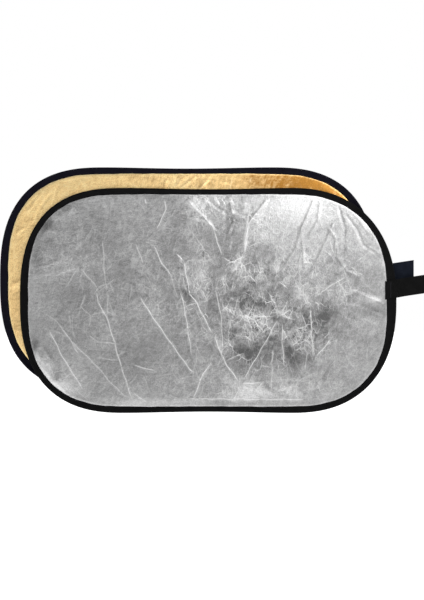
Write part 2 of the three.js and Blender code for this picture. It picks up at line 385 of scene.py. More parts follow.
class Panel:
    """Where a panel stands and how large it is, read from the frame."""

    def __init__(self, name):
        left_low, left_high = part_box(f"{name}_binding_left")
        right_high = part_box(f"{name}_binding_right")[1]
        rail_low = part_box(f"{name}_binding_top")[0]
        self.name = name
        self.centre = (left_low + left_high) / 2
        self.centre.x = (left_low.x + right_high.x) / 2
        self.half_width = (right_high.x - left_low.x) / 2
        self.half_height = (left_high.z - left_low.z) / 2
        self.rail_half = self.centre.x - (left_high.x + rail_low.x) / 2
        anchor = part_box(f"{name}_strap_anchor")
        self.strap_height = (anchor[0].z + anchor[1].z) / 2 - self.centre.z

    def world(self, x, y, z):
        """Points in the frame from the panel's own x, y and z."""
        x, y, z = np.broadcast_arrays(x, y, z)
        return np.stack([x + self.centre.x, y + self.centre.y, z + self.centre.z], axis=-1)


class Rim:
    """One half of a panel's rim, walked from the upper rail's middle to the lower rail's."""

    def __init__(self, panel, side, step):
        sign = SIDES[side]
        share = np.linspace(0, 1, 600, endpoint=False)
        rail_x = share * panel.rail_half
        rail_z = panel.half_height - RAIL_PULL_IN * (1 - share**2) ** 2
        angle = np.linspace(math.pi / 2, -math.pi / 2, 6001)
        upper, lower = END_EXPONENTS[panel.name][side]
        power = 2 / np.where(angle > 0, upper, lower)
        reach = panel.half_width - panel.rail_half
        end_x = panel.rail_half + reach * np.abs(np.cos(angle)) ** power
        end_z = panel.half_height * np.sign(np.sin(angle)) * np.abs(np.sin(angle)) ** power
        x = np.concatenate([rail_x, end_x, rail_x[::-1]]) * sign
        z = np.concatenate([rail_z, end_z, -rail_z[::-1]])
        walked = np.concatenate([[0], np.cumsum(np.hypot(np.diff(x), np.diff(z)))])
        self.widths = [w * MM for w in (*WIDTHS[panel.name], END_WIDTHS[panel.name][side])]
        self.length = walked[-1]
        self.end_from = walked[len(rail_x)]
        self.at = np.linspace(0, self.length, int(self.length / step) + 1)
        self.x, self.z = (np.interp(self.at, walked, v) for v in (x, z))
        tangent_x, tangent_z = np.gradient(self.x, self.at), np.gradient(self.z, self.at)
        size = np.hypot(tangent_x, tangent_z)
        self.tangent = np.stack([tangent_x, tangent_z], axis=1) / size[:, None]
        self.tangent[[0, -1]] = [[sign, 0], [-sign, 0]]
        self.inward = sign * np.stack([self.tangent[:, 1], -self.tangent[:, 0]], axis=1)

    def widening(self):
        """How much wider than LEG_WIDTH the binding is."""
        rail, shoulder, corner, end = self.widths
        share = np.pi * np.clip((self.at - self.end_from) / (self.length - 2 * self.end_from), 0, 1)
        on_end = corner + (shoulder - corner) * np.cos(share) ** 4 + (end - corner) * np.sin(share) ** 10
        along_rail = np.clip(np.minimum(self.at, self.length - self.at) / self.end_from, 0, 1)
        on_rail = rail + (shoulder - rail) * along_rail**2
        return np.where(along_rail < 1, on_rail, on_end) - LEG_WIDTH

    def rings(self, panel, depth, height):
        """A section swept along the rim: depth from its edge and height, each (step, point)."""
        x = self.x[:, None] + self.inward[:, :1] * depth
        z = self.z[:, None] + self.inward[:, 1:] * depth
        return panel.world(x, height, z)


def bend(obj):
    """Bakes the piece's placement into its mesh."""
    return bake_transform(obj)


# ---------------------------------------------------------------- cloth


def line_distance(x, z, corners):
    """(distance walked along a bent line to the place nearest to x and z, signed distance from
    the line there, the line's length)."""
    best = np.full(x.shape, np.inf)
    side, along, walked = np.ones(x.shape), np.zeros(x.shape), 0.0
    for (x0, z0), (x1, z1) in zip(corners[:-1], corners[1:]):
        length = math.hypot(x1 - x0, z1 - z0)
        ux, uz = (x1 - x0) / length, (z1 - z0) / length
        forward = (x - x0) * ux + (z - z0) * uz
        aside = (z - z0) * ux - (x - x0) * uz
        past = forward - np.clip(forward, 0, length)
        distance = np.hypot(aside, past)
        nearer = distance < best
        best = np.where(nearer, distance, best)
        side = np.where(nearer, np.where(aside < 0, -1, 1), side)
        along = np.where(nearer, walked + forward, along)
        walked += length
    return along, best * side, walked


def fades(along, length, over):
    return smooth(along / over) * smooth((length - along) / over)


def scattered_creases(random, count):
    """Short creases in random places. More of them run up and down than across."""
    made = []
    for _ in range(count):
        x, z = random.uniform(-430, 430), random.uniform(-255, 255)
        upright = random.random() < 0.7
        angle = random.normal(math.pi / 2 if upright else 0, 0.5)
        length = random.uniform(18, 75) if upright else random.uniform(10, 40)
        dx, dz = math.cos(angle) * length / 2, math.sin(angle) * length / 2
        sag = random.normal(0, 0.06) * length
        middle = (x - dz * sag / length, z + dx * sag / length)
        made.append((random.uniform(0.08, 0.34), (x - dx, z - dz), middle, (x + dx, z + dz)))
    return made


def scattered_folds(random):
    """Short folds in the crumpled places, in every direction."""
    made = []
    for cx, cz, wide, high, amount in CRUMPLED:
        for _ in range(int(amount * math.sqrt(wide * high) / 1.8)):
            x, z = random.normal(cx, wide * 0.55), random.normal(cz, high * 0.55)
            angle, length = random.uniform(0, math.pi), random.uniform(14, 42)
            dx, dz = math.cos(angle) * length / 2, math.sin(angle) * length / 2
            sag = random.normal(0, 0.15)
            height = random.choice([-0.7, 1]) * random.uniform(0.2, 0.55) * amount
            half_width = random.uniform(2.4, 4.2)
            middle = (x - dz * sag, z + dx * sag)
            made.append((height, half_width, (x - dx, z - dz), middle, (x + dx, z + dz)))
    return made


def in_metres(corners, turned):
    return [(x * MM * turned[0], z * MM * turned[1]) for x, z in corners]


def nearby(x, z, corners, margin):
    xs, zs = zip(*corners)
    inside_x = (x > min(xs) - margin) & (x < max(xs) + margin)
    return inside_x & (z > min(zs) - margin) & (z < max(zs) + margin)


def slack_swells(random, x, z):
    """Low swells where the cloth is slack between its seams."""
    height = np.zeros_like(x)
    for _ in range(30):
        cx, cz = random.uniform(-0.42, 0.42), random.uniform(-0.25, 0.25)
        angle = random.normal(math.pi / 2, 0.5)
        ux, uz = math.cos(angle), math.sin(angle)
        along, aside = (x - cx) * ux + (z - cz) * uz, (z - cz) * ux - (x - cx) * uz
        spread, width = random.uniform(0.04, 0.11), random.uniform(0.012, 0.035)
        swell = np.exp(-((along / spread) ** 2) - (aside / width) ** 2)
        height += random.uniform(0.2, 0.6) * MM * swell
    return height


def relief(x, z, seed, turned, strength):
    """(height outwards, strength of the nearest crease, signed distance from it) at x and z."""
    random = np.random.default_rng(seed)
    height, wear = np.zeros_like(x), np.zeros_like(x)
    offset = np.full_like(x, CREASE_REACH)
    crumpled = 0.6 + 1.6 * spots_at(x * turned[0], z * turned[1], CRUMPLED)
    for power, *corners in CREASES + scattered_creases(random, 320):
        corners = in_metres(corners, turned)
        near = nearby(x, z, corners, 24 * MM)
        if not near.any():
            continue
        along, d, length = line_distance(x[near], z[near], corners)
        d = d + 0.7 * MM * np.sin(along / (8 * MM) + random.uniform(0, 6))
        fade = fades(along, length, min(0.35 * length, 14 * MM)) * power
        broad, narrow = random.permutation([22 * MM, 4 * MM])
        roof = np.clip(1 - np.where(d > 0, d / broad, -d / narrow), 0, 1)
        height[near] += roof * fade * crumpled[near] * random.uniform(0.3, 0.6) * MM
        closer = (np.abs(d) < np.abs(offset[near])) & (fade > 0)
        offset[near] = np.where(closer, d, offset[near])
        wear[near] = np.where(closer, fade, wear[near])
    for high, half_width, *corners in FOLDS + scattered_folds(random):
        corners = in_metres(corners, turned)
        near = nearby(x, z, corners, 24 * MM)
        if not near.any():
            continue
        along, d, length = line_distance(x[near], z[near], corners)
        fade = fades(along + 10 * MM, length + 20 * MM, 20 * MM)
        height[near] += high * MM * fade * np.exp(-((d / (half_width * MM)) ** 2))
    height += slack_swells(random, x, z)
    height = np.maximum(height * strength, -0.8 * MM)
    return height, wear * strength, np.clip(offset, -CREASE_REACH, CREASE_REACH)


def rim_depth(panel, x, z):
    """(depth from the rim's edge, the binding's width there) at each x and z."""
    tree_points, widths = [], []
    for side in SIDES:
        rim = Rim(panel, side, RIM_STEP)
        tree_points.append(np.stack([rim.x, rim.z], axis=1))
        widths.append(LEG_WIDTH + rim.widening())
    edge, width = np.concatenate(tree_points), np.concatenate(widths)
    tree = kdtree.KDTree(len(edge))
    for i, (px, pz) in enumerate(edge.tolist()):
        tree.insert((px, 0, pz), i)
    tree.balance()
    found = [tree.find((px, 0, pz)) for px, pz in zip(x.ravel().tolist(), z.ravel().tolist())]
    depth = np.array([f[2] for f in found]).reshape(x.shape)
    return depth, width[[f[1] for f in found]].reshape(x.shape)


def spots_at(x, z, spots):
    """The sum of soft round spots at x and z."""
    total = np.zeros_like(x)
    for cx, cz, wide, high, amount in spots:
        distance = ((x - cx * MM) / (wide * MM)) ** 2 + ((z - cz * MM) / (high * MM)) ** 2
        total += amount * np.exp(-distance)
    return np.clip(total, -0.5, 1)


def cloth_edges(panel, side, x):
    """The heights of the cloth's lower and upper edges at each distance x outwards."""
    rim = Rim(panel, side, RIM_STEP)
    edge_x = np.abs(rim.x + rim.inward[:, 0] * CLOTH_EDGE)
    edge_z = rim.z + rim.inward[:, 1] * CLOTH_EDGE
    upper, lower = edge_z > 0, edge_z < 0
    high = np.interp(x, edge_x[upper], edge_z[upper])
    low = np.interp(x, edge_x[lower][::-1], edge_z[lower][::-1])
    return low[:, None], high[:, None]


def cloth_height(panel, x, z, face, style):
    """(height outwards, wear, crease offset, nearness to the seam) of a cloth, level where the
    binding holds it."""
    height, wear, offset = relief(x, z, style["seed"], style["turned"], style["strength"])
    depth, covered = rim_depth(panel, x, z)
    free = smooth((depth - covered + 4 * MM) / CLOTH_FREE_OVER)
    slack = 0.7 * MM * np.sin(x * 19 + 1) * np.cos(z * 23 - 0.6)  # shared by both cloths
    rise = 0.5 * MM * smooth((depth - covered + 2 * MM) / (7 * MM))
    # Nearness to the binding's edge; cloth() lightens the colour there, partly as wear of the foil and
    # partly as a painted highlight where the cloth rises
    seam = np.exp(-(((depth - covered) / (2.4 * MM)) ** 2))
    return CLOTH_LEVEL + rise + free * (height + face * slack), wear * free, offset / CREASE_REACH, seam


def cloth(panel, colour, face, style):
    """One cloth as a left and a right half that meet without a seam."""
    outwards = np.linspace(0, 1, int(panel.half_width / CLOTH_STEP) + 1)
    outwards = outwards * (panel.half_width - CLOTH_TIP)
    rows = int(2 * panel.half_height / CLOTH_STEP) + 1
    up = np.linspace(0, 1, rows)[None]
    sheets = {}
    for side, sign in SIDES.items():
        low, high = cloth_edges(panel, side, outwards)
        z = low + (high - low) * up
        x = np.broadcast_to(sign * outwards[:, None], z.shape)
        height, wear, offset, seam = cloth_height(panel, x, z, face, style)
        marks = {"wear": wear, "crease": offset}
        # Spots of the foil's own tone together with painted highlights and painted shade, and a lighter
        # line along the seam
        marks["tone"] = spots_at(x, z, style["tones_and_painted_light"]) + 0.3 * seam
        marks["crumple"] = spots_at(x * style["turned"][0], z * style["turned"][1], CRUMPLED)
        sheets[side] = [panel.world(x, face * height, z), marks, np.stack([x, z], axis=-1)]
    points = {side: s[0] for side, s in sheets.items()}
    normals = grid_normals(points["left"], points["right"], face)
    halves = []
    for side, sign in SIDES.items():
        place, marks, uv = sheets[side]
        name = f"{panel.name}_{colour}_cloth_{side}_half"
        faces = grid_faces(*place.shape[:2], flip=sign * face < 0)
        obj = mesh_object(name, place.reshape(-1, 3), faces, uv.reshape(-1, 2))
        obj.data.normals_split_custom_set_from_vertices(normals[side].reshape(-1, 3).tolist())
        for mark, values in marks.items():
            made = obj.data.attributes.new(mark, "FLOAT", "POINT")
            made.data.foreach_set("value", values.ravel().astype(np.float32))
        obj.data.materials.append(MATERIALS[f"{colour}_cloth"])
        bend(obj)
        cad = f"{panel.name}_{colour}_cloth"
        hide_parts(f"{cad}_{side}", f"{cad}_middle")
        halves.append(obj)
    return halves


def grid_normals(left, right, face):
    """Outward normals over both halves at once, so that none differs where they meet."""
    whole = np.concatenate([left[::-1], right[1:]])
    across = np.gradient(whole, axis=0)
    upwards = np.gradient(whole, axis=1)
    normal = np.cross(across, upwards) * -face
    normal *= np.where(normal[..., 1:2] * face < 0, -1, 1)
    normal /= np.maximum(np.linalg.norm(normal, axis=-1, keepdims=True), 1e-12)
    middle = len(left) - 1
    return {"left": normal[: middle + 1][::-1], "right": normal[middle:]}


# ---------------------------------------------------------------- binding and hoop


def half_profile():
    """(depth, height) of the binding's outer surface from the rim's edge to the leg's end."""
    turn = np.linspace(0, math.pi / 2, 7)
    round_depth = BEAD_ROUND * (1 - np.cos(turn))
    round_height = BEAD_HEIGHT * np.sin(turn) ** 0.8
    depth = np.linspace(BEAD_ROUND, LEG_WIDTH - 0.5 * MM, 16)[1:]
    drop = smooth((depth - BEAD_ENDS) / (LEG_STARTS - BEAD_ENDS))
    pressed = 0.3 * MM * np.exp(-(((LEG_WIDTH - depth - STITCH_INSET) / (0.9 * MM)) ** 2))
    height = BEAD_HEIGHT + (LEG_HEIGHT - BEAD_HEIGHT) * drop - pressed
    depth = np.concatenate([round_depth, depth, [LEG_WIDTH - 0.15 * MM, LEG_WIDTH]])
    height = np.concatenate([round_height, height, [LEG_HEIGHT - 0.2 * MM, LEG_HEIGHT - 0.5 * MM]])
    return depth, height


def binding(panel, side):
    rim = Rim(panel, side, RIM_STEP)
    depth, height = half_profile()
    inner_depth = np.maximum(depth + TAPE * (1 - smooth(depth / BEAD_ROUND)), TAPE)
    inner_height = np.maximum(height - TAPE, 0)
    inner_depth[-1] = LEG_WIDTH
    outer = np.concatenate([depth[::-1], depth[1:]]), np.concatenate([height[::-1], -height[1:]])
    inner_depth = np.concatenate([inner_depth[::-1], inner_depth[1:]])
    inner_height = np.concatenate([inner_height[::-1], -inner_height[1:]])
    ring_depth = np.concatenate([outer[0], inner_depth[::-1]])
    ring_height = np.concatenate([outer[1], inner_height[::-1]])
    random = np.random.default_rng(3)
    at = rim.at[:, None]
    leg = smooth((ring_depth - LEG_STARTS + 2 * MM) / (LEG_WIDTH - LEG_STARTS))[None]
    edge_wave = sum(
        random.uniform(0.12, 0.3) * MM * np.sin(at * k + random.uniform(0, 6)) for k in (60, 97, 171)
    )
    settled = smooth(np.minimum(at, rim.length - at) / (20 * MM))
    wide = ring_depth[None] + leg * (rim.widening()[:, None] + settled * edge_wave)
    pucker = 0.16 * MM * np.sin(at * 2 * math.pi / (7.3 * MM) + 1.2 * np.sin(at * 40))
    wider = rim.widening()[:, None] / (8 * MM)
    high = ring_height[None] + np.sign(ring_height)[None] * leg * settled * pucker * (0.4 + wider)
    rings = rim.rings(panel, wide, high)
    across = np.concatenate([[0], np.cumsum(np.hypot(np.diff(ring_depth), np.diff(ring_height)))])
    uv = np.stack(np.broadcast_arrays(at, across[None]), axis=-1).reshape(-1, 2)
    obj = tube(f"{panel.name}_binding_{side}_half", rings, uv, flip=SIDES[side] < 0)
    obj.data.materials.append(MATERIALS[f"{panel.name}_tape"])
    bend(obj)
    cad = f"{panel.name}_binding"
    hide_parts(f"{cad}_{side}", f"{cad}_top", f"{cad}_bottom")
    return obj


def hoop(panel, side):
    rim = Rim(panel, side, 2 * RIM_STEP)
    soft = 0.25 * MM
    low, high = HOOP_DEPTH, HOOP_DEPTH + HOOP_THICKNESS
    depth = np.array([low, low + soft, high - soft, high, high, high - soft, low + soft, low])
    edge, flat = HOOP_HALF_WIDTH, HOOP_HALF_WIDTH - soft
    height = np.array([flat, edge, edge, flat, -flat, -edge, -edge, -flat])
    rings = rim.rings(panel, np.broadcast_to(depth, (len(rim.at), 8)), height[None])
    rings[-1] += np.array([SIDES[side] * HOOP_END_GAP, 0, 0])
    obj = tube(f"{panel.name}_hoop_{side}_half", rings, flip=SIDES[side] > 0)
    obj.data.materials.append(MATERIALS["spring_steel"])
    bend(obj)
    cad = f"{panel.name}_hoop"
    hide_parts(f"{cad}_{side}", f"{cad}_top", f"{cad}_bottom_{side}")
    return obj


def edge_stitches(panel, side, face_name):
    """The row of stitches along one leg of the binding."""
    rim = Rim(panel, side, STITCH_PITCH)
    depth = (LEG_WIDTH - STITCH_INSET + rim.widening())[:, None]
    x = rim.x[:, None] + rim.inward[:, :1] * depth
    z = rim.z[:, None] + rim.inward[:, 1:] * depth
    face = FACES[face_name]
    centres = panel.world(x, face * (LEG_HEIGHT - 0.22 * MM), z)[1:-1, 0]
    flat = np.zeros(len(centres))
    along = np.stack([rim.tangent[1:-1, 0], flat, rim.tangent[1:-1, 1]], axis=1)
    up = np.tile([0.0, face, 0.0], (len(centres), 1))
    across = np.cross(up, along)
    name = f"{panel.name}_stitches_{face_name}_{side}"
    obj = capsules(name, centres, along, across, up, STITCH_PITCH * 0.78, 0.3 * MM)
    obj.data.materials.append(MATERIALS["thread"])
    bend(obj)
    return obj


# ---------------------------------------------------------------- carry loop


def rounded(points, times=4):
    """Corner cutting: a smooth line close to the given one, with the same ends."""
    for _ in range(times):
        first, second = points[:-1], points[1:]
        cut = np.stack([first * 0.75 + second * 0.25, first * 0.25 + second * 0.75], axis=1)
        points = np.concatenate([points[:1], cut.reshape(-1, 2), points[-1:]])
    return points


def webbing_line(panel):
    """The webbing's middle line seen from above, from its front leaf's end to its back leaf's."""
    anchor_low, anchor_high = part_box(f"{panel.name}_strap_anchor")
    loop_low, loop_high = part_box(f"{panel.name}_strap_loop")
    rim_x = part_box(f"{panel.name}_binding_right")[1].x - panel.centre.x
    leaf_x = anchor_low.x - panel.centre.x + 2 * MM
    root_x = loop_low.x - panel.centre.x
    half = WEBBING_THICKNESS / 2
    end_x = loop_high.x - panel.centre.x - half
    spread = (loop_high.y - loop_low.y) / 2 - half
    bead = (anchor_high.y - anchor_low.y) / 2 - half
    leaf_y = LEG_HEIGHT + half + 0.35 * MM
    near = half + 0.05 * MM
    front = [
        (leaf_x, leaf_y),
        (rim_x - 9 * MM, leaf_y),
        (rim_x - 6 * MM, bead * 0.94),
        (rim_x - 3 * MM, bead),
        (rim_x + 0.4 * MM, bead * 0.86),
        (root_x + 1 * MM, near),
        (root_x + 9 * MM, near),
        (root_x + 20 * MM, spread * 0.72),
        (root_x + 34 * MM, spread * 0.98),
        (end_x - 22 * MM, spread),
        (end_x - 5 * MM, spread * 0.95),
        (end_x, spread * 0.7),
    ]
    front = np.array(front) * [1, -1]
    return rounded(np.concatenate([front, front[::-1] * [1, -1]])), root_x


def strap(panel):
    """The webbing: two leaves on the rim, a root where they meet and the loop."""
    line, root_x = webbing_line(panel)
    keep = np.concatenate([[True], np.hypot(*np.diff(line, axis=0).T) > 0.02 * MM])
    line = line[keep]
    tangent = np.gradient(line, axis=0)
    tangent /= np.linalg.norm(tangent, axis=1, keepdims=True)
    normal = np.stack([-tangent[:, 1], tangent[:, 0]], axis=1)
    walked = np.concatenate([[0], np.cumsum(np.hypot(*np.diff(line, axis=0).T))])
    half_w, half_t = WEBBING_WIDTH / 2, WEBBING_THICKNESS / 2
    across = np.linspace(-1, 1, 21)
    face_w = across * (half_w - 0.5 * MM)
    selvedge = 1 + 0.12 * np.exp(-(((1 - np.abs(across)) / 0.06) ** 2))
    ring_w = np.concatenate([face_w, [half_w - 0.1 * MM, half_w, half_w - 0.1 * MM]])
    ring_t = np.concatenate([half_t * selvedge, [half_t * 0.7, 0, -half_t * 0.7]])
    ring_w = np.concatenate([ring_w, -ring_w])
    ring_t = np.concatenate([ring_t, -ring_t])
    wave = 0.35 * MM * np.sin(walked / (23 * MM)) * smooth(np.abs(line[:, 0] - root_x) / (20 * MM))
    place = line[:, None, :] + normal[:, None, :] * ring_t[None, :, None]
    rise = LOOP_SLOPE * (line[:, 0] - root_x) + wave + panel.strap_height
    points = panel.world(place[..., 0], place[..., 1], rise[:, None] + ring_w[None])
    uv = np.stack(np.broadcast_arrays(walked[:, None], ring_w[None]), axis=-1).reshape(-1, 2)
    obj = tube(f"{panel.name}_strap", points, uv)
    obj.data.materials.append(MATERIALS[f"{panel.name}_webbing"])
    at_root(obj)
    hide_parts(f"{panel.name}_strap_anchor", f"{panel.name}_strap_loop")
    return obj


def at_root(obj):
    """Bakes the piece's placement into its mesh."""
    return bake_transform(obj)


def tack(panel, face_name):
    """A bar of dense stitches across one leaf of the webbing."""
    face = FACES[face_name]
    low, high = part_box(f"{panel.name}_strap_tack_{face_name}")
    x = (low.x + high.x) / 2
    surface = LEG_HEIGHT + WEBBING_THICKNESS + 0.35 * MM
    z = np.arange(low.z, high.z, TACK_PITCH)
    lean = LOOP_SLOPE * (x - panel.centre.x - webbing_line(panel)[1])
    centres = np.stack(
        [np.full(len(z), x), np.full(len(z), panel.centre.y + face * surface), z + lean], axis=1
    )
    along = np.tile([1.0, 0.0, 0.12], (len(z), 1))
    up = np.tile([0.0, face, 0.0], (len(z), 1))
    name = f"{panel.name}_bar_tack_{face_name}"
    obj = capsules(name, centres, along, np.cross(up, along), up, 3.2 * MM, 0.36 * MM)
    obj.data.materials.append(MATERIALS["thread"])
    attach(obj, f"{panel.name}_right_wing")
    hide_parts(f"{panel.name}_strap_tack_{face_name}")
    return obj


# ---------------------------------------------------------------- materials


def node(tree, kind, inputs=None, **settings):
    """A new node with its settings, and its inputs either linked or set."""
    made = tree.nodes.new(kind)
    for key, value in settings.items():
        setattr(made, key, value)
    for key, value in (inputs or {}).items():
        if isinstance(value, bpy.types.NodeSocket):
            tree.links.new(value, made.inputs[key])
        else:
            made.inputs[key].default_value = value
    return made


def material(name, metallic=0.0, roughness=0.6, **sockets):
    """(material, its node tree, its Principled node)."""
    made = bpy.data.materials.new(name)
    made.use_nodes = True
    shader = made.node_tree.nodes["Principled BSDF"]
    shader.inputs["Metallic"].default_value = metallic
    shader.inputs["Roughness"].default_value = roughness
    for key, value in sockets.items():
        shader.inputs[key.replace("_", " ")].default_value = value
    return made, made.node_tree, shader


def ramp(tree, factor, stops):
    """A colour ramp through (place, colour) stops."""
    made = node(tree, "ShaderNodeValToRGB", {"Fac": factor})
    elements = made.color_ramp.elements
    while len(elements) < len(stops):
        elements.new(0.5)
    for element, (place, colour) in zip(elements, stops):
        element.position = place
        element.color = (*colour, 1)
    return made.outputs["Color"]


def scaled(tree, value, low, high, new_low, new_high):
    inputs = {"Value": value, "From Min": low, "From Max": high, "To Min": new_low, "To Max": new_high}
    return node(tree, "ShaderNodeMapRange", inputs).outputs["Result"]


def noise(tree, vector, scale, detail=3.0, roughness=0.55, distortion=0.0):
    inputs = {"Vector": vector, "Scale": scale, "Detail": detail}
    inputs |= {"Roughness": roughness, "Distortion": distortion}
    return node(tree, "ShaderNodeTexNoise", inputs, noise_dimensions="2D").outputs["Fac"]


def math_node(tree, operation, a, b=0.0):
    return node(tree, "ShaderNodeMath", {0: a, 1: b}, operation=operation).outputs["Value"]


def vector_node(tree, operation, a, b):
    return node(tree, "ShaderNodeVectorMath", {0: a, 1: b}, operation=operation).outputs["Vector"]


def add(tree, *values):
    """The sum of the values."""
    total = values[0]
    for value in values[1:]:
        total = math_node(tree, "ADD", total, value)
    return total


def times(tree, *values):
    """The product of the values."""
    total = values[0]
    for value in values[1:]:
        total = math_node(tree, "MULTIPLY", total, value)
    return total


def bumps(tree, shader, height, strength, distance):
    inputs = {"Height": height, "Strength": strength, "Distance": distance}
    bump = node(tree, "ShaderNodeBump", inputs)
    tree.links.new(bump.outputs["Normal"], shader.inputs["Normal"])


def crumple_lines(tree, uv, scale, width, where):
    """(thin creases between the cells of a bent Voronoi pattern, each cell's own value from -0.5
    to 0.5, used as the painted shade and highlight of a facet), only in some places."""
    bending = {"Vector": uv, "Scale": scale * 0.7}
    shift = node(tree, "ShaderNodeTexNoise", bending, noise_dimensions="2D").outputs["Color"]
    moved = vector_node(tree, "MULTIPLY", shift, (0.7 / scale, 0.7 / scale, 0))
    place = vector_node(tree, "ADD", uv, moved)
    upright = node(tree, "ShaderNodeMapping", {"Vector": place, "Scale": (1.0, 0.6, 1.0)})
    inputs = {"Vector": upright.outputs["Vector"], "Scale": scale}
    made = []
    for feature, output in (("DISTANCE_TO_EDGE", "Distance"), ("F1", "Color")):
        settings = {"feature": feature, "voronoi_dimensions": "2D"}
        made.append(node(tree, "ShaderNodeTexVoronoi", inputs, **settings).outputs[output])
    line = scaled(tree, made[0], 0.0, width * scale, 1.0, 0.0)
    facet_shade = math_node(tree, "SUBTRACT", made[1], 0.5)
    return times(tree, line, where), times(tree, facet_shade, where)


def strokes(tree, uv, angle, scale):
    """Fine streaks in one direction."""
    inputs = {"Vector": uv, "Rotation": (0.0, 0.0, angle), "Scale": (3.5, 1.0, 1.0)}
    turned = node(tree, "ShaderNodeMapping", inputs, vector_type="TEXTURE")
    return noise(tree, turned.outputs["Vector"], scale, 3, 0.6, 0.4)


def frosting(tree, uv, scale, width, where):
    """Fine curved filaments, along the places where a noise passes through its middle."""
    value = noise(tree, uv, scale, 4, 0.6, 0.3)
    off = math_node(tree, "ABSOLUTE", math_node(tree, "SUBTRACT", value, 0.5))
    return times(tree, scaled(tree, off, 0.0, width, 1.0, 0.0), where)


def attribute(tree, name):
    return node(tree, "ShaderNodeAttribute", attribute_name=name).outputs["Fac"]


def crease_line(tree):
    """The worn line and its fainter, wider surroundings at each crease of the mesh."""
    offset = attribute(tree, "crease")
    squared = times(tree, offset, offset)
    lines = []
    for half_width, amount in ((0.7 * MM, 0.75), (2.8 * MM, 0.22)):
        steep = -((CREASE_REACH / half_width) ** 2)
        line = math_node(tree, "EXPONENT", times(tree, squared, steep))
        lines.append(times(tree, line, amount))
    return times(tree, add(tree, *lines), attribute(tree, "wear"))


def foil_web(tree, uv, crumpling, crumple):
    """(the small creases that aren't in the mesh, the painted shade and highlight of the facets
    between them: each facet lighter or darker as if it were tilted otherwise to the light)."""
    everywhere = add(tree, times(tree, crumple, 0.85), 0.18 * crumpling)
    some = scaled(tree, noise(tree, uv, 10, 3), 0.42, 0.62, 0.0, 1.0)
    other = scaled(tree, noise(tree, uv, 23, 3), 0.45, 0.6, 0.0, 1.0)
    lines, facet_shades = [], []
    webs = ((22, 1.0, some, 1.1), (48, 0.9, other, 1.3), (90, 0.8, some, 1.0))
    for scale, width, where, bright in webs:
        line, facet_shade = crumple_lines(tree, uv, scale, width * MM, where)
        lines.append(times(tree, line, bright))
        facet_shades.append(facet_shade)
    for scale, width, where in ((38, 0.05, other), (100, 0.08, some)):
        lines.append(times(tree, frosting(tree, uv, scale, width, where), 0.6))
    web = times(tree, add(tree, *lines), 0.6, everywhere)
    return web, times(tree, add(tree, *facet_shades), 0.4, everywhere)


def foil_patches(tree, uv, crumple, cloudy, facet_shades):
    """How much duller or brighter each place is than the cloth's middle shade: random mottling and
    streaks, and the facets' painted shade and highlight.
    """
    wide = scaled(tree, noise(tree, uv, 11, 5, 0.6, 0.4), 0.3, 0.7, -0.16, 0.16)
    fine = scaled(tree, cloudy, 0.3, 0.7, -0.13, 0.13)
    rough_places = scaled(tree, crumple, 0.0, 1.0, 0.3, 1.8)
    patches = [times(tree, add(tree, wide, fine), rough_places), facet_shades]
    for angle, scale in ((1.3, 170), (0.75, 130), (-0.15, 210)):
        patches.append(scaled(tree, strokes(tree, uv, angle, scale), 0.3, 0.7, -0.06, 0.06))
    return add(tree, *patches)


def cloth_material(name, shades, worn, roughness, crumpling, bumpiness):
    """Foil-laminated cloth: mottled, finely grained, with pale worn creases, and with painted highlights
    and painted shade in its colour.
    """
    made, tree, shader = material(name, metallic=1.0)
    uv = node(tree, "ShaderNodeUVMap", uv_map="flat").outputs["UV"]
    crumple = times(tree, attribute(tree, "crumple"), crumpling)
    cloudy, grain = noise(tree, uv, 60, 5, 0.65), noise(tree, uv, 420, 2, 0.7)
    web, facet_shades = foil_web(tree, uv, crumpling, crumple)
    patches = foil_patches(tree, uv, crumple, cloudy, facet_shades)
    # The mark added here carries spots of the foil's own tone together with painted highlights and
    # painted shade
    level = add(tree, patches, attribute(tree, "tone"), 0.5)
    base = ramp(tree, level, [(0.0, shades[0]), (0.5, shades[1]), (1.0, shades[2])])
    base = vector_node(tree, "MULTIPLY", base, scaled(tree, grain, 0.3, 0.7, 0.8, 1.2))
    lines = add(tree, web, crease_line(tree))
    lines = node(tree, "ShaderNodeClamp", {"Value": lines}).outputs["Result"]
    mixed = node(tree, "ShaderNodeMix", {"Factor": lines}, data_type="RGBA")
    tree.links.new(base, mixed.inputs["A"])
    mixed.inputs["B"].default_value = (*worn, 1)
    tree.links.new(mixed.outputs["Result"], shader.inputs["Base Color"])
    rough = add(tree, scaled(tree, cloudy, 0.3, 0.7, *roughness), times(tree, lines, 0.12))
    tree.links.new(rough, shader.inputs["Roughness"])
    creased = scaled(tree, crumple, 0.0, 1.0, 0.5, 1.3)
    height = times(tree, noise(tree, uv, 130, 4, 0.6, 0.3), creased)
    height = add(tree, height, times(tree, lines, 0.5), times(tree, grain, 0.18))
    bumps(tree, shader, height, bumpiness, 0.0012)
    return made


